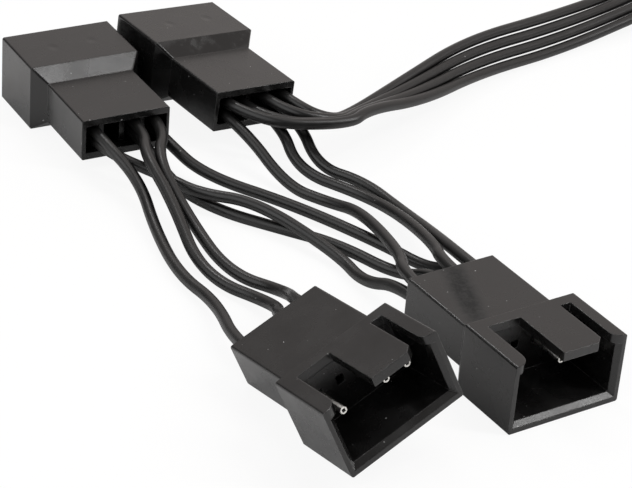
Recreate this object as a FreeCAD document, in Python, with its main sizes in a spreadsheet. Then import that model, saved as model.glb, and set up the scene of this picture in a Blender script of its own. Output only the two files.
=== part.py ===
"""Fan splitter cable, in millimetres.

One flat four-wire lead ends in a female plug and feeds a chain of four shrouded male sockets.
Each socket is modelled with its mouth at y = 0, its wires leaving towards +y and its latch
tongue on top, and is then placed as it lies. The frame stands on the floor, +Z up, under the
middle of the four sockets.
"""
import FreeCAD, Part
import math
import os
import re
import Sketcher

from FreeCAD import Placement, Rotation, Vector

SIZES = {
    # contact row
    "contact_spacing": 2.54,
    "row_offset": 0.25,
    # socket shroud
    "shroud_width": 13.4,
    "shroud_height": 7.8,
    "shroud_length": 8.4,
    "edge_radius": 0.25,
    "side_wall": 0.95,
    "tongue_wall": 1.0,
    "floor_wall": 1.05,
    "mouth_depth": 7.4,
    "mouth_bevel": 0.5,
    # latch tongue between a window and a slot in the top wall
    "left_strip": 1.75,
    "tongue_width": 4.9,
    "slot_width": 1.3,
    "right_strip": 1.5,
    "slot_depth": 7.1,
    "tongue_corner": 0.7,
    "strip_tip": 0.3,
    # rear block with the contact cavities
    "shoulder_length": 1.8,
    "rear_length": 11.5,
    "rear_width": 10.7,
    "rear_height": 4.9,
    "rear_drop": 1.5,
    "back_wall": 1.3,
    "cavity_width": 1.9,
    "cavity_height": 3.3,
    "recess_depth": 1.6,
    "recess_wall": 0.5,
    # contacts
    "pin_width": 0.7,
    "pin_corner": 0.2,
    "pin_height": 4.45,
    "pin_setback": 3.15,
    "pin_bore": 0.36,
    "pin_bore_depth": 1.4,
    "pin_clearance": 0.08,
    "box_width": 1.7,
    "box_height": 2.2,
    "box_length": 3.6,
    "crimp_width": 1.6,
    "crimp_height": 3.0,
    "crimp_setback": 4.0,
    # female plug on the lead
    "plug_width": 10.4,
    "plug_height": 5.2,
    "plug_length": 13.0,
    "plug_front_wall": 1.0,
    "plug_hole": 1.1,
    "rib_width": 1.0,
    "rib_height": 1.1,
    "rib_length": 11.0,
    "rib_clearance": 0.15,
    "lance_window_width": 1.2,
    "lance_window_length": 2.6,
    "lance_window_setback": 4.5,
    # wires
    "wire_diameter": 1.3,
    "stack_half": 0.68,
    "ribbon_spacing": 1.45,
    # clear distance between the rear ends of the two rows of sockets
    "row_gap": 41.7,
}

SIGNALS = ("pwm", "speed", "power", "ground")
MIDDLE_PLACE = (len(SIGNALS) - 1) / 2

# How each socket lies: the line between it and its neighbour, its clear distance from that line, how far it
# stands out of its row, turn about Z, roll about its length, pitch, upside down or not.
SOCKETS = {
    "first": (4.175, 0.125, -0.1, 2.0, 4.5, 0.0, True),
    "second": (0.325, 3.025, 0.1, 0.0, 0.0, 0.0, False),
    "third": (4.175, -0.125, 1.0, -4.0, 0.0, 0.0, True),
    "fourth": (0.325, -3.025, 1.1, 3.5, -22.0, -12.0, False),
}

# A cavity holds one wire in its middle, or two, one above the other.
LEVELS = {"low": -1, "middle": 0, "high": 1}

# Links of the chain: the sockets at both ends, the wire's level in each cavity and the points between.
# A point's y is its share of the way from the middle to the end of the gap between the rows.
LINKS = {
    "link_12": ("first", "low", "second", "high", {
        "pwm": [(9.2, 0.42, 0.7), (11.4, 0.17, 0.8), (12.2, -0.09, 2.2), (9.6, -0.63, 3.5)],
        "power": [(12.1, 0.53, 0.8), (15.8, 0.17, 0.8), (16.1, -0.18, 1.8), (14.1, -0.61, 3.4)],
        "ground": [(14.8, 0.53, 0.7), (17.5, 0.27, 0.9), (17.7, -0.08, 0.9), (16.2, -0.47, 2.6)],
    }),
    "link_23": ("third", "low", "second", "low", {
        "pwm": [(-3.1, 0.70, 1.9), (-1.8, 0.45, 2.1), (2.5, 0.20, 2.7), (6.1, -0.32, 1.0), (5.5, -0.60, 0.8)],
        "power": [(-2.1, 0.66, 0.7), (-0.4, 0.33, 0.8), (3.4, 0.07, 0.7), (7.5, -0.21, 0.7), (9.9, -0.62, 0.7)],
        "ground": [(1.2, 0.65, 1.6), (7.6, 0.21, 0.9), (11.9, -0.33, 0.8), (13.4, -0.62, 0.7)],
    }),
    "link_34": ("third", "high", "fourth", "middle", {
        "pwm": [(-6.8, 0.65, 2.7), (-8.9, 0.30, 0.9), (-11.0, -0.12, 0.7), (-10.7, -0.47, 1.2)],
        "power": [(-6.2, 0.70, 4.2), (-5.3, 0.45, 3.5), (-9.7, -0.13, 0.7), (-5.2, -0.65, 1.1)],
        "ground": [(-4.2, 0.72, 3.5), (-5.6, 0.20, 0.7), (-6.3, -0.23, 0.7), (-3.8, -0.56, 1.7)],
    }),
}
# Straight runs behind each socket and behind the plug.
LINK_RUN_OUT = {"first": 3.5, "second": 3.5, "third": 1.8, "fourth": 3.5}
PLUG_RUN_OUT = 3.5

# The flat lead: middle of the ribbon, its heading about Z and how far its far edge is lifted.
LEAD = [
    (19.2, 13.7, 4.2, 0.0, -17.0),
    (22.8, 15.3, 3.9, 6.0, -35.0),
    (32.6, 18.3, 3.2, 4.0, 7.0),
    (44.8, 23.0, 3.1, 10.0, 46.0),
    (59.7, 25.4, 2.4, 10.0, 53.0),
    (75.0, 27.9, 3.0, 7.0, 20.0),
]
LEAD_RUN_OUT = (5.0, 4.2, 3.6, 3.0)
PLUG_PLACE = (90.0, 30.6)
PLUG_HEADING = 5.0

# An arc takes this share of the shorter run beside it, and a wire has flats, to keep its mesh light.
ARC_SHARE = 0.45
WIRE_FLATS = 6

doc = FreeCAD.newDocument("fan_splitter")
sheet = doc.addObject("Spreadsheet::Sheet", "Sizes")
for row, (alias, value) in enumerate(SIZES.items(), start=1):
    sheet.set(f"A{row}", str(value))
    sheet.setAlias(f"A{row}", alias)
doc.recompute()


def size(alias):
    """A driving dimension, read back from the sheet."""
    return float(getattr(sheet, alias))


def bound(formula):
    """A formula in the sheet's words, as an expression of the document."""
    return re.sub(r"[a-z][a-z_]+", lambda word: "Sizes." + word.group(), formula)


# Sketches and features


def new_body(label):
    body = doc.addObject("PartDesign::Body", label)
    body.Label = label
    return body


def new_sketch(body, role, name, offset="0"):
    """An empty sketch on one of the body's own planes, moved along the plane's normal."""
    sketch = body.newObject("Sketcher::SketchObject", name)
    plane = next(item for item in body.Origin.OriginFeatures if item.Role == role)
    sketch.AttachmentSupport = (plane, "")
    sketch.MapMode = "FlatFace"
    sketch.setExpression("AttachmentOffset.Base.z", bound(offset))
    return sketch


def section(body, name, along="0"):
    """A sketch across the length, at a distance from the mouth."""
    return new_sketch(body, "XZ_Plane", name, f"-({along})")


def hold(sketch, kind, line, name, start, formula):
    """Ties one coordinate of a line's first point to the sheet."""
    index = sketch.addConstraint(Sketcher.Constraint(kind, line, 1, start))
    sketch.renameConstraint(index, name)
    sketch.setExpression(f"Constraints.{name}", bound(formula))


def hold_sides(sketch, lines, left, right, low, high):
    bottom, side, top, other = lines
    hold(sketch, "DistanceX", other, f"left_{bottom}", -1.0, left)
    hold(sketch, "DistanceX", side, f"right_{bottom}", 1.0, right)
    hold(sketch, "DistanceY", bottom, f"low_{bottom}", -1.0, low)
    hold(sketch, "DistanceY", top, f"high_{bottom}", 1.0, high)


def add_rectangle(sketch, left, right, low, high):
    corners = [Vector(-1, -1), Vector(1, -1), Vector(1, 1), Vector(-1, 1)]
    lines = []
    for start, end in zip(corners, corners[1:] + corners[:1]):
        lines.append(sketch.addGeometry(Part.LineSegment(start, end)))
    for line, after, kind in zip(lines, lines[1:] + lines[:1], ("Horizontal", "Vertical") * 2):
        sketch.addConstraint(Sketcher.Constraint("Coincident", line, 2, after, 1))
        sketch.addConstraint(Sketcher.Constraint(kind, line))
    hold_sides(sketch, lines, left, right, low, high)


def add_rounded_rectangle(sketch, left, right, low, high, radius):
    near, far, start_radius = 0.8, 1.0, 0.2
    lines, arcs = [], []
    for quarter in range(4):
        turn = Rotation(Vector(0, 0, 1), 90 * quarter)
        start = turn.multVec(Vector(-near, -far))
        end = turn.multVec(Vector(near, -far))
        circle = Part.Circle(turn.multVec(Vector(near, -near)), Vector(0, 0, 1), start_radius)
        angle = math.radians(90 * quarter - 90)
        lines.append(sketch.addGeometry(Part.LineSegment(start, end)))
        arcs.append(sketch.addGeometry(Part.ArcOfCircle(circle, angle, angle + math.pi / 2)))
    for line, arc, after in zip(lines, arcs, lines[1:] + lines[:1]):
        sketch.addConstraint(Sketcher.Constraint("Tangent", line, 2, arc, 1))
        sketch.addConstraint(Sketcher.Constraint("Tangent", arc, 2, after, 1))
    for line, kind in zip(lines, ("Horizontal", "Vertical") * 2):
        sketch.addConstraint(Sketcher.Constraint(kind, line))
    for arc in arcs[1:]:
        sketch.addConstraint(Sketcher.Constraint("Equal", arcs[0], arc))
    index = sketch.addConstraint(Sketcher.Constraint("Radius", arcs[0], start_radius))
    sketch.renameConstraint(index, "corner")
    sketch.setExpression("Constraints.corner", bound(radius))
    hold_sides(sketch, lines, left, right, low, high)


def add_pad(body, sketch, name, length):
    pad = body.newObject("PartDesign::Pad", name)
    pad.Profile = sketch
    pad.setExpression("Length", bound(length))
    pad.Reversed = sketch.AttachmentSupport[0][0].Role == "XZ_Plane"
    return pad


def add_pocket(body, sketch, name, depth, towards_mouth=False):
    """A pocket from its sketch into the part: down, or along the length."""
    pocket = body.newObject("PartDesign::Pocket", name)
    pocket.Profile = sketch
    pocket.setExpression("Length", bound(depth))
    pocket.Reversed = towards_mouth
    return pocket


def edges_near(shape, places, tolerance=0.02):
    """Names of the edges whose middles lie at the given places."""
    names = []
    for place in places:
        for index, edge in enumerate(shape.Edges, start=1):
            if edge.CenterOfMass.distanceToPoint(place) < tolerance:
                names.append(f"Edge{index}")
    return names


def add_dressing(body, kind, name, base, places, property_name, formula):
    """A fillet or chamfer on the edges at the given places."""
    doc.recompute()
    dressing = body.newObject(kind, name)
    dressing.Base = (base, edges_near(base.Shape, places))
    dressing.setExpression(property_name, bound(formula))
    return dressing


# Contact row


def contact_middle(position):
    """Formula for a contact's place across the housing."""
    return f"row_offset + {position - MIDDLE_PLACE} * contact_spacing"


def contact_x(position):
    return size("row_offset") + (position - MIDDLE_PLACE) * size("contact_spacing")


def add_row(sketch, width, low, high):
    """One rectangle at each contact place."""
    for position in range(len(SIGNALS)):
        middle = contact_middle(position)
        add_rectangle(sketch, f"{middle} - {width} / 2", f"{middle} + {width} / 2", low, high)


REAR_TOP = "(shroud_height - rear_drop)"
REAR_LOW = "(shroud_height - rear_drop - rear_height)"
CAVITY_MIDDLE = "(shroud_height - rear_drop - rear_height / 2)"
CAVITY_FRONT = "(mouth_depth + back_wall)"
SOCKET_LENGTH = "(shroud_length + rear_length)"
TONGUE_RIGHT = "(shroud_width / 2 - right_strip - slot_width)"
TONGUE_LEFT = "(shroud_width / 2 - right_strip - slot_width - tongue_width)"


def make_socket(label):
    """Shroud with a latch tongue, sloped shoulder and rear block with four contact cavities."""
    body = new_body(label)
    half = "shroud_width / 2"
    rear_half = "rear_width / 2"

    outline = section(body, "ShroudOutline")
    add_rounded_rectangle(outline, f"-{half}", half, "0", "shroud_height", "edge_radius")
    add_pad(body, outline, "Shroud", "shroud_length")

    back = section(body, "ShoulderBack", "shroud_length")
    add_rounded_rectangle(back, f"-{half}", half, "0", "shroud_height", "edge_radius")
    front = section(body, "ShoulderFront", "shroud_length + shoulder_length")
    add_rounded_rectangle(front, f"-{rear_half}", rear_half, REAR_LOW, REAR_TOP, "edge_radius")
    shoulder = body.newObject("PartDesign::AdditiveLoft", "Shoulder")
    shoulder.Profile = back
    shoulder.Sections = [front]
    shoulder.Ruled = True

    block = section(body, "RearOutline", "shroud_length + shoulder_length")
    add_rounded_rectangle(block, f"-{rear_half}", rear_half, REAR_LOW, REAR_TOP, "edge_radius")
    add_pad(body, block, "RearBlock", "rear_length - shoulder_length")

    slots = new_sketch(body, "XY_Plane", "SlotOutline", "shroud_height")
    add_rectangle(slots, f"left_strip - {half}", TONGUE_LEFT, "0", "slot_depth")
    add_rectangle(slots, TONGUE_RIGHT, f"{half} - right_strip", "0", "slot_depth")
    last = add_pocket(body, slots, "Slots", "tongue_wall")

    left_edge = size("left_strip") - size("shroud_width") / 2
    right_edge = size("shroud_width") / 2 - size("right_strip")
    tongue_edge = right_edge - size("slot_width")
    middle = size("shroud_height") - size("tongue_wall") / 2
    last = add_dressing(body, "PartDesign::Chamfer", "TongueCorner", last,
                        [Vector(tongue_edge, 0, middle)], "Size", "tongue_corner")
    last = add_dressing(body, "PartDesign::Fillet", "LeftStripCorner", last,
                        [Vector(left_edge, 0, middle)], "Radius", "left_strip - strip_tip")
    add_dressing(body, "PartDesign::Fillet", "RightStripCorner", last,
                 [Vector(right_edge, 0, middle)], "Radius", "right_strip - strip_tip")

    inner = f"({half} - side_wall)"
    mouth = section(body, "MouthOutline")
    add_rectangle(mouth, f"-{inner}", inner, "floor_wall", "shroud_height - tongue_wall")
    add_pocket(body, mouth, "Mouth", "mouth_depth")
    rim = section(body, "RimOutline")
    add_rectangle(rim, f"-{inner} - mouth_bevel", f"{inner} + mouth_bevel",
                  "floor_wall - mouth_bevel", "shroud_height - tongue_wall")
    throat = section(body, "ThroatOutline", "mouth_bevel")
    add_rectangle(throat, f"-{inner}", inner, "floor_wall", "shroud_height - tongue_wall")
    bevel = body.newObject("PartDesign::SubtractiveLoft", "MouthBevel")
    bevel.Profile = rim
    bevel.Sections = [throat]
    bevel.Ruled = True

    recess = section(body, "RecessOutline", SOCKET_LENGTH)
    add_rectangle(recess, f"recess_wall - {rear_half}", f"{rear_half} - recess_wall",
                  f"{CAVITY_MIDDLE} - cavity_height / 2", f"{CAVITY_MIDDLE} + cavity_height / 2")
    add_pocket(body, recess, "Recess", "recess_depth", towards_mouth=True)

    cavities = section(body, "CavityOutline", SOCKET_LENGTH)
    add_row(cavities, "cavity_width", f"{CAVITY_MIDDLE} - cavity_height / 2",
            f"{CAVITY_MIDDLE} + cavity_height / 2")
    add_pocket(body, cavities, "Cavities", f"{SOCKET_LENGTH} - {CAVITY_FRONT}", towards_mouth=True)

    holes = section(body, "PinHoleOutline", CAVITY_FRONT)
    add_row(holes, "(pin_width + 2 * pin_clearance)", "pin_height - pin_width / 2 - pin_clearance",
            "pin_height + pin_width / 2 + pin_clearance")
    add_pocket(body, holes, "PinHoles", "back_wall", towards_mouth=True)
    return body


def make_pin(label):
    """Male contact: rolled pin, open at its tip, box that stops on the back wall, crimp round the wires."""
    body = new_body(label)
    pin = section(body, "PinOutline", "pin_setback")
    add_rectangle(pin, "-pin_width / 2", "pin_width / 2",
                  "pin_height - pin_width / 2", "pin_height + pin_width / 2")
    last = add_pad(body, pin, "Pin", f"{CAVITY_FRONT} - pin_setback")
    half = size("pin_width") / 2
    half_way = (size("pin_setback") + size("mouth_depth") + size("back_wall")) / 2
    edges = [Vector(side * half, half_way, size("pin_height") + rise * half)
             for side in (-1, 1) for rise in (-1, 1)]
    add_dressing(body, "PartDesign::Chamfer", "PinCorners", last, edges, "Size", "pin_corner")

    bore = section(body, "BoreOutline", "pin_setback")
    add_rectangle(bore, "-pin_bore / 2", "pin_bore / 2",
                  "pin_height - pin_bore / 2", "pin_height + pin_bore / 2")
    add_pocket(body, bore, "Bore", "pin_bore_depth")

    box = section(body, "BoxOutline", CAVITY_FRONT)
    add_rectangle(box, "-box_width / 2", "box_width / 2",
                  f"{CAVITY_MIDDLE} - box_height / 2", f"{CAVITY_MIDDLE} + box_height / 2")
    add_pad(body, box, "Box", "box_length")

    crimp = section(body, "CrimpOutline", f"{CAVITY_FRONT} + box_length")
    add_rectangle(crimp, "-crimp_width / 2", "crimp_width / 2",
                  f"{CAVITY_MIDDLE} - crimp_height / 2", f"{CAVITY_MIDDLE} + crimp_height / 2")
    add_pad(body, crimp, "Crimp", f"{SOCKET_LENGTH} - crimp_setback - {CAVITY_FRONT} - box_length")
    return body


PLUG_MIDDLE = "plug_height / 2"
PLUG_CRIMP = "crimp_setback"


def make_plug(label):
    """Female plug: its wires enter at y = 0, and two ribs on top pass beside a socket's tongue."""
    body = new_body(label)
    outline = section(body, "PlugOutline")
    add_rounded_rectangle(outline, "row_offset - plug_width / 2", "row_offset + plug_width / 2",
                          "0", "plug_height", "edge_radius")
    add_pad(body, outline, "Plug", "plug_length")

    ribs = section(body, "RibOutline", "plug_length - rib_length")
    add_rectangle(ribs, f"{TONGUE_LEFT} - rib_clearance - rib_width", f"{TONGUE_LEFT} - rib_clearance",
                  PLUG_MIDDLE, "plug_height + rib_height")
    add_rectangle(ribs, f"{TONGUE_RIGHT} + rib_clearance", f"{TONGUE_RIGHT} + rib_clearance + rib_width",
                  PLUG_MIDDLE, "plug_height + rib_height")
    add_pad(body, ribs, "Ribs", "rib_length")

    cavities = section(body, "PlugCavityOutline")
    add_row(cavities, "cavity_width", f"{PLUG_MIDDLE} - cavity_height / 2",
            f"{PLUG_MIDDLE} + cavity_height / 2")
    add_pocket(body, cavities, "PlugCavities", "plug_length - plug_front_wall")

    holes = section(body, "PlugHoleOutline", "plug_length - plug_front_wall")
    add_row(holes, "plug_hole", f"{PLUG_MIDDLE} - plug_hole / 2", f"{PLUG_MIDDLE} + plug_hole / 2")
    add_pocket(body, holes, "PlugHoles", "plug_front_wall")

    windows = new_sketch(body, "XY_Plane", "LanceWindowOutline",
                         "(plug_height - cavity_height) / 2")
    for position in range(len(SIGNALS)):
        middle = contact_middle(position)
        add_rectangle(windows, f"{middle} - lance_window_width / 2", f"{middle} + lance_window_width / 2",
                      "plug_length - lance_window_setback - lance_window_length",
                      "plug_length - lance_window_setback")
    add_pocket(body, windows, "LanceWindows", "(plug_height - cavity_height) / 2")
    return body


def make_contact(label):
    """Female contact: crimp at the wire, then a box that stops on the plug's front wall."""
    body = new_body(label)
    crimp = section(body, "CrimpOutline", PLUG_CRIMP)
    add_rectangle(crimp, "-crimp_width / 2", "crimp_width / 2",
                  f"{PLUG_MIDDLE} - crimp_height / 2", f"{PLUG_MIDDLE} + crimp_height / 2")
    add_pad(body, crimp, "Crimp", f"plug_length - plug_front_wall - box_length - {PLUG_CRIMP}")

    box = section(body, "BoxOutline", "plug_length - plug_front_wall - box_length")
    add_rectangle(box, "-box_width / 2", "box_width / 2",
                  f"{PLUG_MIDDLE} - box_height / 2", f"{PLUG_MIDDLE} + box_height / 2")
    add_pad(body, box, "Box", "box_length")

    throat = section(body, "ThroatOutline", "plug_length - plug_front_wall")
    add_rectangle(throat, "-plug_hole / 2", "plug_hole / 2",
                  f"{PLUG_MIDDLE} - plug_hole / 2", f"{PLUG_MIDDLE} + plug_hole / 2")
    add_pocket(body, throat, "Throat", "box_length", towards_mouth=True)
    return body


# Places


def socket_place(name):
    """How a socket lies, lifted until its lowest corner is on the floor."""
    line, clear, stand_out, turn, roll, pitch, upside_down = SOCKETS[name]
    x = line + clear + math.copysign(size("shroud_width") / 2, clear)
    reach = size("row_gap") / 2 + size("rear_length") + size("shroud_length") + stand_out
    y = reach if upside_down else -reach
    lie = Placement(Vector(), Rotation(turn, roll, pitch))
    if upside_down:
        flip = Placement(Vector(0, 0, size("shroud_height")), Rotation(Vector(1, 0, 0), 180))
        lie = lie.multiply(flip)
    half = size("shroud_width") / 2
    rear_half = size("rear_width") / 2
    top = size("shroud_height") - size("rear_drop")
    rear = size("shroud_length") + size("rear_length")
    corners = [Vector(side * half, along, height) for side in (-1, 1)
               for along in (0, size("shroud_length")) for height in (0, size("shroud_height"))]
    corners += [Vector(side * rear_half, rear, height) for side in (-1, 1)
                for height in (top - size("rear_height"), top)]
    lowest = min(lie.multVec(corner).z for corner in corners)
    return Placement(Vector(x, y, -lowest), Rotation()).multiply(lie)


def plug_place():
    """The plug lies on its two ribs, with its wire end towards the sockets."""
    stand = size("plug_height") + size("rib_height")
    over = Placement(Vector(*PLUG_PLACE, stand), Rotation(Vector(0, 0, 1), PLUG_HEADING - 90))
    return over.multiply(Placement(Vector(), Rotation(Vector(0, 1, 0), 180)))


def contact_place(housing, position):
    return housing.multiply(Placement(Vector(contact_x(position), 0, 0), Rotation()))


def socket_point(name, position, level, along):
    """A point of a wire in or behind a socket's cavity, at a distance from the mouth."""
    upside_down = SOCKETS[name][-1]
    lift = LEVELS[level] * size("stack_half") * (-1 if upside_down else 1)
    middle = size("shroud_height") - size("rear_drop") - size("rear_height") / 2
    return socket_place(name).multVec(Vector(contact_x(position), along, middle + lift))


def plug_point(position, along):
    return plug_place().multVec(Vector(contact_x(position), along, size("plug_height") / 2))


# Wires


def wire_path(points):
    """Straight runs joined by tangent arcs, each as large as its two runs allow."""
    edges, radii = [], []
    start = points[0]
    for before, corner, after in zip(points, points[1:], points[2:]):
        into = (corner - before).normalize()
        out = (after - corner).normalize()
        cut = ARC_SHARE * min((corner - before).Length, (after - corner).Length)
        turn = into.getAngle(out)
        radius = cut / math.tan(turn / 2)
        first = corner - into * cut
        last = corner + out * cut
        inward = (out - into).normalize()
        middle = corner + inward * (radius / math.cos(turn / 2) - radius)
        edges.append(Part.LineSegment(start, first).toShape())
        edges.append(Part.Arc(first, middle, last).toShape())
        radii.append(radius)
        start = last
    edges.append(Part.LineSegment(start, points[-1]).toShape())
    return Part.Wire(edges), radii


def make_wire(label, points):
    """A wire along its route, its flats inside the round of its diameter."""
    path, radii = wire_path(points)
    start = Placement(points[0], Rotation(Vector(0, 0, 1), points[1] - points[0]))
    corner = Vector(size("wire_diameter") / 2, 0, 0)
    step = 360 / WIRE_FLATS
    turns = [Rotation(Vector(0, 0, 1), step * flat) for flat in range(WIRE_FLATS + 1)]
    ring = Part.makePolygon([start.multVec(turn.multVec(corner)) for turn in turns])
    solid = path.makePipeShell([ring], True, False)
    expected = Part.Face(ring).Area * path.Length
    bends = ", ".join(f"{value:.1f}" for value in radii)
    print(f"{label}: length {path.Length:.1f}, volume ratio {solid.Volume / expected:.4f}, bends {bends}")
    wire = doc.addObject("Part::Feature", label)
    wire.Label = label
    wire.Shape = solid
    wire.Placement = Placement()
    return wire


def link_points(ends, position, between):
    """From the crimp in one socket, out of its rear, along the route and into the next socket."""
    start, start_level, end, end_level = ends
    rear = size("shroud_length") + size("rear_length")
    crimp = rear - size("crimp_setback")
    points = [socket_point(start, position, start_level, along)
              for along in (crimp, rear + LINK_RUN_OUT[start])]
    points += [Vector(x, share * size("row_gap") / 2, z) for x, share, z in between]
    points += [socket_point(end, position, end_level, along)
               for along in (rear + LINK_RUN_OUT[end], crimp)]
    return points


def lead_points(position):
    """From the first socket along the ribbon to the plug."""
    signal = SIGNALS[position]
    level = "middle" if signal == "speed" else "high"
    rear = size("shroud_length") + size("rear_length")
    crimp = rear - size("crimp_setback")
    along_socket = (crimp, rear + LEAD_RUN_OUT[position])
    points = [socket_point("first", position, level, along) for along in along_socket]
    for x, y, z, heading, tilt in LEAD:
        across = Rotation(Vector(0, 0, 1), heading).multiply(Rotation(Vector(1, 0, 0), tilt))
        offset = across.multVec(Vector(0, (position - MIDDLE_PLACE) * size("ribbon_spacing"), 0))
        points.append(Vector(x, y, z) + offset)
    points += [plug_point(position, along) for along in (-PLUG_RUN_OUT, size("crimp_setback"))]
    return points


# Assembly

parts = []
for number, socket in enumerate(SOCKETS, start=1):
    place = socket_place(socket)
    housing = make_socket(f"socket_housing_{number}")
    housing.Placement = place
    parts.append(housing)
    for position, signal in enumerate(SIGNALS):
        if signal == "speed" and socket != "first":
            continue
        pin = make_pin(f"pin_{number}_{signal}")
        pin.Placement = contact_place(place, position)
        parts.append(pin)

plug = make_plug("plug_housing")
plug.Placement = plug_place()
parts.append(plug)
for position, signal in enumerate(SIGNALS):
    contact = make_contact(f"plug_contact_{signal}")
    contact.Placement = contact_place(plug_place(), position)
    parts.append(contact)

for name, (start, start_level, end, end_level, routes) in LINKS.items():
    for signal, between in routes.items():
        ends = (start, start_level, end, end_level)
        points = link_points(ends, SIGNALS.index(signal), between)
        parts.append(make_wire(f"{name}_{signal}", points))
for position, signal in enumerate(SIGNALS):
    parts.append(make_wire(f"lead_{signal}", lead_points(position)))

doc.recompute()
failed = [item.Name for item in doc.Objects if {"Invalid", "Error"} & set(item.State)]
failed += [part.Label for part in parts if part.Shape.isNull() or not part.Shape.isValid()]
if failed:
    raise RuntimeError(f"failed objects: {failed}")

os.makedirs("parts", exist_ok=True)
for part in parts:
    part.Shape.exportStep(f"parts/{part.Label}.step")
print(f"{len(parts)} sub-parts written")
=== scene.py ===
"""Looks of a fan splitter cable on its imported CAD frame, in metres."""
import math

import bpy
from mathutils import Matrix, Vector


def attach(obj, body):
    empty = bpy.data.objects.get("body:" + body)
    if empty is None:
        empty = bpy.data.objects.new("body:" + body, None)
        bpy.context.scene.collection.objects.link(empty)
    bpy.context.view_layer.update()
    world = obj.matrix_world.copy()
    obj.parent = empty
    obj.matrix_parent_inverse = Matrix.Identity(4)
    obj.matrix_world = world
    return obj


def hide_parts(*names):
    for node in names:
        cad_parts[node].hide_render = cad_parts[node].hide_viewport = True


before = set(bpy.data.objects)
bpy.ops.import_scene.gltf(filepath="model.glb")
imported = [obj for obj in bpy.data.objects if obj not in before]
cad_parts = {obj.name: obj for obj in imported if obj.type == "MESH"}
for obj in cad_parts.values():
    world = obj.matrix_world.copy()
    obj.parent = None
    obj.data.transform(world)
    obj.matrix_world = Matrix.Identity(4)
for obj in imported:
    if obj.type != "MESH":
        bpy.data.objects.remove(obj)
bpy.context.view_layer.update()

MM = 0.001
WIRE_DIAMETER = 1.3 * MM

# Control points of the wires between the sockets, in millimetres, from crimp to crimp. Those of
# link_34_power and link_34_ground follow the photograph, about 1 mm from the CAD route.
LINKS = {
    "link_12_pwm": [(8.26, 24.64, 4.06), (8.53, 17.15, 4.06), (9.2, 8.76, 0.7), (11.4, 3.54, 0.8),
                    (12.2, -1.88, 2.2), (9.6, -13.14, 3.5), (6.49, -17.45, 4.53), (6.49, -24.95, 4.53)],
    "link_12_power": [(13.33, 24.82, 3.67), (13.59, 17.33, 3.67), (12.1, 11.05, 0.8), (15.8, 3.54, 0.8),
                      (16.1, -3.75, 1.8), (14.1, -12.72, 3.4), (11.57, -17.45, 4.53),
                      (11.57, -24.95, 4.53)],
    "link_12_ground": [(15.86, 24.91, 3.47), (16.12, 17.41, 3.47), (14.8, 11.05, 0.7),
                       (17.5, 5.63, 0.9), (17.7, -1.67, 0.9), (16.2, -9.8, 2.6), (14.11, -17.45, 4.53),
                       (14.11, -24.95, 4.53)],
    "link_23_pwm": [(-7.31, 26.14, 3.27), (-7.72, 20.35, 3.27), (-3.1, 14.6, 1.9), (-1.8, 9.38, 2.1),
                    (2.5, 4.17, 2.7), (6.1, -6.67, 1), (5.5, -12.51, 0.8), (6.49, -17.45, 3.17),
                    (6.49, -24.95, 3.17)],
    "link_23_power": [(-2.24, 25.78, 3.27), (-2.65, 20, 3.27), (-2.1, 13.76, 0.7), (-0.4, 6.88, 0.8),
                      (3.4, 1.46, 0.7), (7.5, -4.38, 0.7), (9.9, -12.93, 0.7), (11.57, -17.45, 3.17),
                      (11.57, -24.95, 3.17)],
    "link_23_ground": [(0.29, 25.61, 3.27), (-0.11, 19.82, 3.27), (1.2, 13.55, 1.6), (7.6, 4.38, 0.9),
                       (11.9, -6.88, 0.8), (13.4, -12.93, 0.7), (14.11, -17.45, 3.17),
                       (14.11, -24.95, 3.17)],
    "link_34_pwm": [(-7.31, 26.14, 4.63), (-7.72, 20.35, 4.63), (-6.8, 13.55, 2.7), (-8.9, 6.25, 0.9),
                    (-11, -2.5, 0.7), (-10.7, -9.8, 1.2), (-13.73, -18.38, 2.22),
                    (-13.86, -25.74, 3.66)],
    "link_34_power": [(-2.24, 25.78, 4.63), (-2.65, 20, 4.63), (-5.51, 15.05, 5.16), (-6.2, 7.51, 3.21),
                      (-8.75, -3.39, 0.35), (-5.3, -13.2, 1.3), (-9.03, -18.09, 4.12),
                      (-9.16, -25.45, 5.57)],
    "link_34_ground": [(0.29, 25.61, 4.63), (-0.11, 19.82, 4.63), (-4.35, 14.37, 4.71),
                       (-4.96, 6.04, 1.57), (-5.99, -4.21, 0.43), (-3.16, -11.34, 1.33),
                       (-6.68, -17.95, 5.07), (-6.81, -25.31, 6.52)],
}

# The four wires of the flat lead, from the first socket to the plug.
LEAD = {
    "pwm": [(8.37, 24.65, 5.42), (8.69, 15.65, 5.42), (19.2, 11.62, 4.84), (22.99, 13.53, 5.15),
            (32.75, 16.15, 2.93), (45.06, 21.51, 1.54), (59.93, 24.11, 0.66), (75.25, 25.87, 2.26),
            (86.82, 26.75, 3.7), (94.3, 27.4, 3.7)],
    "speed": [(10.85, 24.74, 4.54), (11.13, 16.54, 4.54), (19.2, 13.01, 4.41), (22.86, 14.71, 4.32),
              (32.65, 17.58, 3.11), (44.89, 22.5, 2.58), (59.78, 24.97, 1.82), (75.08, 27.22, 2.75),
              (86.6, 29.28, 3.7), (94.07, 29.93, 3.7)],
    "power": [(13.43, 24.83, 5.02), (13.7, 17.23, 5.02), (19.2, 14.39, 3.99), (22.74, 15.89, 3.48),
              (32.55, 19.02, 3.29), (44.71, 23.5, 3.62), (59.62, 25.83, 2.98), (74.92, 28.58, 3.25),
              (86.38, 31.81, 3.7), (93.85, 32.46, 3.7)],
    "ground": [(15.96, 24.91, 4.82), (16.21, 17.92, 4.82), (19.2, 15.78, 3.56), (22.61, 17.07, 2.65),
               (32.45, 20.45, 3.47), (44.54, 24.49, 4.66), (59.47, 26.69, 4.14), (74.75, 29.93, 3.74),
               (86.16, 34.34, 3.7), (93.63, 34.99, 3.7)],
}

# Smoothness of a wire's round section and of its line.
WIRE_SECTION_STEPS = 6
WIRE_LINE_STEPS = 16

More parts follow.
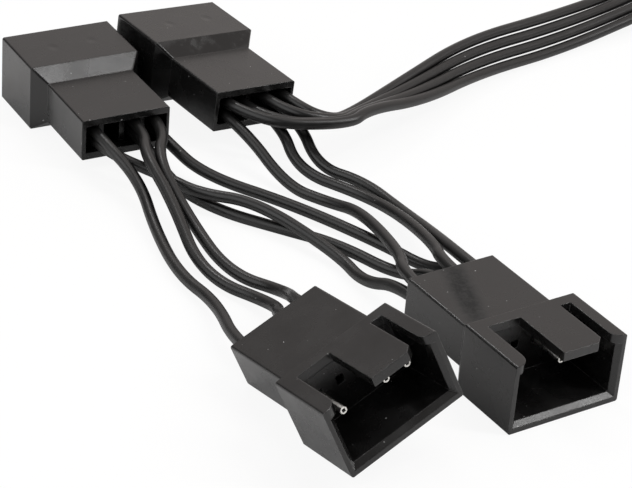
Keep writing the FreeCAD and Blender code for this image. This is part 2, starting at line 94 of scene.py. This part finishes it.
# Marks on the sockets, as middle and reach in millimetres and turn about Z in degrees: a dull streak on
# the back of the second, smooth scuffs on the shoulder of the first, and faint sink marks on the two
# that lie upside down.
STREAK = ((8.4, -25.3, 6.3), (2.0, 13.0, 0.9), -21.0)
SCUFFS = ((11.9, 31.6, 7.5), (7.5, 1.8, 1.5), 2.0)
SINK_MARKS = [(-5.1, 37.6, 7.8), (-0.2, 37.5, 7.8), (9.6, 36.4, 8.4), (14.8, 36.8, 8.0)]
SINK_REACH = (0.7, 0.9, 0.5)
SINK_DEPTH = 0.1 * MM

# Edges of the moulded plastic.
EDGE_RADIUS = 0.15 * MM
EDGE_SAMPLES = 6

# Greys of wear and dust, and the roughness of the streak and the scuffs.
WORN_GREY = 0.08
PLASTIC_DUST_GREY = 0.3
WIRE_DUST_GREY = 0.2
STREAK_ROUGHNESS = 0.85
SCUFFS_ROUGHNESS = 0.05

# Floor: its size in metres, its white, and the shares of plain white that the camera and mirrors see.
FLOOR_SIZE = 6.0
FLOOR_WHITE = 0.9
FLOOR_ROUGHNESS = 0.9
CAMERA_SHARE = 0.9
MIRROR_SHARE = 0.15

# Surroundings: the direction of their bright side, the greys away from it and towards it, and the level.
BRIGHT_SIDE = (0.80, 0.35, 0.49)
DIM_WORLD = 0.12
BRIGHT_WORLD = (1.0, 0.93, 0.90)
WORLD_STRENGTH = 0.85

# Lamps: place, width and height in metres, and power in watts.
LAMPS = {
    "overhead": ((0.05, 0.10, 0.60), 0.3, 0.3, 0.25),
    "left": ((-0.55, 0.05, 0.36), 0.8, 0.6, 2.7),
    "right_front": ((0.285, -0.26, 0.44), 0.07, 0.46, 1.75),
    "behind": ((0.073, 0.505, 0.624), 0.2, 0.06, 0.75),
}

# Camera: the eye and the point on the floor at the frame's middle in metres, the roll in degrees, and
# the sensor's width and the focal length in millimetres.
EYE = Vector((-0.12274, -0.18594, 0.13132))
AIM = Vector((0.00608, -0.00239, 0.0))
ROLL = 4.91
SENSOR_WIDTH = 36.0
FOCAL_LENGTH = 137.6
CLIP_START = 0.01

# Colour sockets of the Mix node.
MIX_FACTOR, MIX_FIRST, MIX_SECOND, MIX_RESULT = 0, 6, 7, 2


# Node helpers


def add(tree, kind, settings=None, **inputs):
    """Adds a node; inputs are numbers, colours or other nodes' sockets, by name with spaces as _."""
    made = tree.nodes.new(kind)
    for name, value in (settings or {}).items():
        setattr(made, name, value)
    for name, value in inputs.items():
        socket = made.inputs[name.replace("_", " ")]
        if isinstance(value, bpy.types.NodeSocket):
            tree.links.new(value, socket)
        else:
            socket.default_value = value
    return made


def ramp(tree, value, stops):
    """Colour ramp; each stop is a place and a grey or a colour."""
    made = tree.nodes.new("ShaderNodeValToRGB")
    tree.links.new(value, made.inputs["Fac"])
    for element, (place, colour) in zip(made.color_ramp.elements, stops):
        element.position = place
        element.color = (*colour, 1.0) if isinstance(colour, tuple) else (colour, colour, colour, 1.0)
    return made.outputs["Color"]


def new_material(name):
    """New node material, with its node tree and its shader."""
    material = bpy.data.materials.new(name)
    material.use_nodes = True
    tree = material.node_tree
    return material, tree, tree.nodes["Principled BSDF"]


def noise(tree, where, scale, detail=2.0, roughness=0.5):
    """Noise from 0 to 1; scale is in waves to the metre."""
    made = add(tree, "ShaderNodeTexNoise", Vector=where, Scale=scale, Detail=detail, Roughness=roughness)
    return made.outputs["Fac"]


def bump(tree, height, distance, strength, normal=None):
    """Normal bent by a height; distance is in metres."""
    made = add(tree, "ShaderNodeBump", Height=height, Distance=distance, Strength=strength)
    if normal is not None:
        tree.links.new(normal, made.inputs["Normal"])
    return made.outputs["Normal"]


def blend(tree, factor, first, second):
    """Colour that goes from the first to the second as factor goes from 0 to 1."""
    made = add(tree, "ShaderNodeMix", {"data_type": "RGBA"})
    for place, value in ((MIX_FACTOR, factor), (MIX_FIRST, first), (MIX_SECOND, second)):
        socket = made.inputs[place]
        if isinstance(value, bpy.types.NodeSocket):
            tree.links.new(value, socket)
        else:
            socket.default_value = (value, value, value, 1.0)
    return made.outputs[MIX_RESULT]


def product(tree, first, second):
    """First value times the second."""
    made = add(tree, "ShaderNodeMath", {"operation": "MULTIPLY"})
    tree.links.new(first, made.inputs[0])
    tree.links.new(second, made.inputs[1])
    return made.outputs[0]


def spot(tree, where, middle, reach, turn=0.0):
    """Soft spot, 1 at its middle and 0 at its reach, in millimetres; turn is about Z, in degrees."""
    mapped = add(tree, "ShaderNodeMapping", {"vector_type": "TEXTURE"}, Vector=where,
                 Location=[value * MM for value in middle], Scale=[value * MM for value in reach],
                 Rotation=(0.0, 0.0, math.radians(turn)))
    made = add(tree, "ShaderNodeTexGradient", {"gradient_type": "SPHERICAL"},
               Vector=mapped.outputs["Vector"])
    return made.outputs["Fac"]


# Materials


def worn_edges(tree, where, rounded):
    """1 in patches along sharp edges, where the rounded normal leaves the flat one, and 0 elsewhere."""
    flat = add(tree, "ShaderNodeNewGeometry").outputs["Normal"]
    agree = add(tree, "ShaderNodeVectorMath", {"operation": "DOT_PRODUCT"})
    tree.links.new(rounded, agree.inputs[0])
    tree.links.new(flat, agree.inputs[1])
    edge = ramp(tree, agree.outputs["Value"], [(0.85, 1.0), (0.98, 0.0)])
    rubbed = noise(tree, where, scale=700.0, detail=3.0, roughness=0.7)
    return product(tree, edge, ramp(tree, rubbed, [(0.38, 0.0), (0.62, 1.0)]))


def uneven_gloss(tree, where, patches):
    """Roughness of the moulded plastic, with its dull streak and its smooth scuffs."""
    streak = ramp(tree, spot(tree, where, *STREAK), [(0.0, 0.0), (0.7, 1.0)])
    grainy = noise(tree, where, scale=1500.0, detail=3.0, roughness=0.7)
    dull = product(tree, streak, ramp(tree, grainy, [(0.25, 0.55), (0.6, 1.0)]))
    scuffs = ramp(tree, spot(tree, where, *SCUFFS), [(0.0, 0.0), (0.25, 1.0)])
    blotches = noise(tree, where, scale=480.0, detail=3.0, roughness=0.6)
    smooth = product(tree, scuffs, ramp(tree, blotches, [(0.36, 0.0), (0.5, 1.0)]))
    gloss = ramp(tree, patches, [(0.3, 0.20), (0.7, 0.32)])
    return blend(tree, smooth, blend(tree, dull, gloss, STREAK_ROUGHNESS), SCUFFS_ROUGHNESS)


def moulded_relief(tree, where, normal):
    """Normal of the moulded plastic, with sink marks, slight waves and fine grain."""
    for middle in SINK_MARKS:
        mark = spot(tree, where, middle, SINK_REACH)
        normal = bump(tree, mark, distance=-SINK_DEPTH, strength=0.4, normal=normal)
    waves = noise(tree, where, scale=420.0)
    normal = bump(tree, waves, distance=0.02 * MM, strength=0.35, normal=normal)
    grain = noise(tree, where, scale=9000.0, detail=3.0, roughness=0.6)
    return bump(tree, grain, distance=0.01 * MM, strength=0.2, normal=normal)


def moulded_plastic():
    """Black moulded nylon: fine grain, uneven gloss, worn edges, dust specks, dull and sunk spots."""
    material, tree, shader = new_material("moulded_plastic")
    where = add(tree, "ShaderNodeTexCoord").outputs["Object"]
    patches = noise(tree, where, scale=260.0, detail=4.0, roughness=0.6)
    bevel = add(tree, "ShaderNodeBevel", {"samples": EDGE_SAMPLES}, Radius=EDGE_RADIUS)
    rounded = bevel.outputs["Normal"]

    body = ramp(tree, patches, [(0.3, (0.0035, 0.0034, 0.0034)), (0.75, (0.008, 0.0078, 0.0077))])
    specks = ramp(tree, noise(tree, where, scale=2300.0, detail=1.0), [(0.79, 0.0), (0.81, 1.0)])
    colour = blend(tree, worn_edges(tree, where, rounded), body, WORN_GREY)
    tree.links.new(blend(tree, specks, colour, PLASTIC_DUST_GREY), shader.inputs["Base Color"])
    tree.links.new(uneven_gloss(tree, where, patches), shader.inputs["Roughness"])
    tree.links.new(moulded_relief(tree, where, rounded), shader.inputs["Normal"])
    return material


def wire_plastic():
    """Black flexible insulation, satin, with slight waves from the extruder and a few dust specks."""
    material, tree, shader = new_material("wire_plastic")
    where = add(tree, "ShaderNodeTexCoord").outputs["Object"]
    patches = noise(tree, where, scale=350.0, detail=3.0)
    specks = ramp(tree, noise(tree, where, scale=1500.0, detail=1.0), [(0.80, 0.0), (0.82, 1.0)])
    body = ramp(tree, patches, [(0.3, (0.002, 0.002, 0.002)), (0.75, (0.005, 0.0049, 0.0048))])
    tree.links.new(blend(tree, specks, body, WIRE_DUST_GREY), shader.inputs["Base Color"])
    tree.links.new(ramp(tree, patches, [(0.3, 0.33), (0.7, 0.43)]), shader.inputs["Roughness"])

    waves = noise(tree, where, scale=500.0, detail=1.0)
    normal = bump(tree, waves, distance=0.02 * MM, strength=0.1)
    grain = noise(tree, where, scale=9000.0, detail=2.0)
    normal = bump(tree, grain, distance=0.006 * MM, strength=0.1, normal=normal)
    tree.links.new(normal, shader.inputs["Normal"])
    return material


def tinned_metal():
    """Bright tin on stamped sheet, with fine drawing lines and dull patches."""
    material, tree, shader = new_material("tinned_metal")
    where = add(tree, "ShaderNodeTexCoord").outputs["Object"]
    patches = noise(tree, where, scale=900.0, detail=3.0)
    body = ramp(tree, patches, [(0.3, (0.62, 0.61, 0.58)), (0.7, (0.80, 0.79, 0.76))])
    tree.links.new(body, shader.inputs["Base Color"])
    shader.inputs["Metallic"].default_value = 1.0
    tree.links.new(ramp(tree, patches, [(0.3, 0.22), (0.7, 0.38)]), shader.inputs["Roughness"])

    stretched = add(tree, "ShaderNodeMapping", Vector=where, Scale=(9000.0, 500.0, 9000.0))
    lines = noise(tree, stretched.outputs["Vector"], scale=1.0)
    normal = bump(tree, lines, distance=0.004 * MM, strength=0.4)
    tree.links.new(normal, shader.inputs["Normal"])
    return material


PLASTIC = moulded_plastic()
INSULATION = wire_plastic()
TIN = tinned_metal()


def dress(node, material):
    """Gives a CAD node its material."""
    node.data.materials.clear()
    node.data.materials.append(material)


for name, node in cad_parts.items():
    if "housing" in name:
        dress(node, PLASTIC)
    elif name.startswith(("link", "lead")):
        dress(node, INSULATION)
    else:
        dress(node, TIN)


# Wires


def make_wire(name, points):
    """One smooth round wire in place of its CAD tube."""
    curve = bpy.data.curves.new(name + "_wire", "CURVE")
    curve.dimensions = "3D"
    curve.bevel_depth = WIRE_DIAMETER / 2
    curve.bevel_resolution = WIRE_SECTION_STEPS
    curve.resolution_u = WIRE_LINE_STEPS
    curve.use_fill_caps = True
    spline = curve.splines.new("NURBS")
    spline.points.add(len(points) - 1)
    for control, point in zip(spline.points, points):
        control.co = (*(value * MM for value in point), 1.0)
    spline.order_u = 3
    spline.use_endpoint_u = True
    curve.materials.append(INSULATION)
    piece = bpy.data.objects.new(name + "_wire", curve)
    bpy.context.scene.collection.objects.link(piece)
    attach(piece, "root")
    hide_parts(name)


for name, points in LINKS.items():
    make_wire(name, points)
for signal, points in LEAD.items():
    make_wire("lead_" + signal, points)


# Stage, light and camera


def make_floor():
    """Plain white floor that keeps a faint shadow, seen mostly as plain white by the camera."""
    bpy.ops.mesh.primitive_plane_add(size=FLOOR_SIZE, location=(0, 0, 0))
    floor = bpy.context.object
    floor.name = "floor"
    material, tree, shader = new_material("floor_white")
    shader.inputs["Base Color"].default_value = (FLOOR_WHITE, FLOOR_WHITE, FLOOR_WHITE, 1.0)
    shader.inputs["Roughness"].default_value = FLOOR_ROUGHNESS
    path = add(tree, "ShaderNodeLightPath")
    mirrored = add(tree, "ShaderNodeMath", {"operation": "ADD", "use_clamp": True})
    tree.links.new(path.outputs["Is Glossy Ray"], mirrored.inputs[0])
    tree.links.new(path.outputs["Is Transmission Ray"], mirrored.inputs[1])
    in_mirrors = add(tree, "ShaderNodeMath", {"operation": "MULTIPLY"})
    tree.links.new(mirrored.outputs[0], in_mirrors.inputs[0])
    in_mirrors.inputs[1].default_value = MIRROR_SHARE
    share = add(tree, "ShaderNodeMath", {"operation": "MULTIPLY_ADD"})
    tree.links.new(path.outputs["Is Camera Ray"], share.inputs[0])
    share.inputs[1].default_value = CAMERA_SHARE
    tree.links.new(in_mirrors.outputs[0], share.inputs[2])
    plain_white = add(tree, "ShaderNodeEmission", Strength=1.0)
    mix = add(tree, "ShaderNodeMixShader")
    tree.links.new(share.outputs[0], mix.inputs[0])
    tree.links.new(shader.outputs[0], mix.inputs[1])
    tree.links.new(plain_white.outputs[0], mix.inputs[2])
    tree.links.new(mix.outputs[0], tree.nodes["Material Output"].inputs["Surface"])
    floor.data.materials.append(material)


def make_world():
    """Soft white surroundings, brightest to the right of the object, behind it and above it."""
    world = bpy.data.worlds.new("studio")
    bpy.context.scene.world = world
    world.use_nodes = True
    tree = world.node_tree
    background = tree.nodes["Background"]
    where = add(tree, "ShaderNodeTexCoord").outputs["Generated"]
    towards = add(tree, "ShaderNodeVectorMath", {"operation": "DOT_PRODUCT"})
    tree.links.new(where, towards.inputs[0])
    towards.inputs[1].default_value = BRIGHT_SIDE
    shade = ramp(tree, towards.outputs["Value"], [(0.0, DIM_WORLD), (0.95, BRIGHT_WORLD)])
    tree.links.new(shade, background.inputs["Color"])
    background.inputs["Strength"].default_value = WORLD_STRENGTH


def facing(place, target):
    """Matrix of a lamp or camera at a place, turned to look at the target."""
    turn = (target - place).to_track_quat("-Z", "Y").to_matrix().to_4x4()
    return Matrix.Translation(place) @ turn


def make_light(name, place, width, height, power):
    """Soft rectangular lamp that faces the object."""
    lamp = bpy.data.lights.new(name, "AREA")
    lamp.shape = "RECTANGLE"
    lamp.size = width
    lamp.size_y = height
    lamp.energy = power
    light = bpy.data.objects.new(name, lamp)
    light.matrix_world = facing(Vector(place), Vector((0, 0, 0)))
    bpy.context.scene.collection.objects.link(light)


def make_camera():
    """The photograph's view."""
    data = bpy.data.cameras.new("camera")
    data.sensor_width = SENSOR_WIDTH
    data.lens = FOCAL_LENGTH
    data.clip_start = CLIP_START
    camera = bpy.data.objects.new("camera", data)
    camera.matrix_world = facing(EYE, AIM) @ Matrix.Rotation(math.radians(ROLL), 4, "Z")
    bpy.context.scene.collection.objects.link(camera)
    bpy.context.scene.camera = camera


make_floor()
make_world()
for name, (place, width, height, power) in LAMPS.items():
    make_light(name, place, width, height, power)
make_camera()
bpy.context.scene.view_settings.view_transform = "Standard"
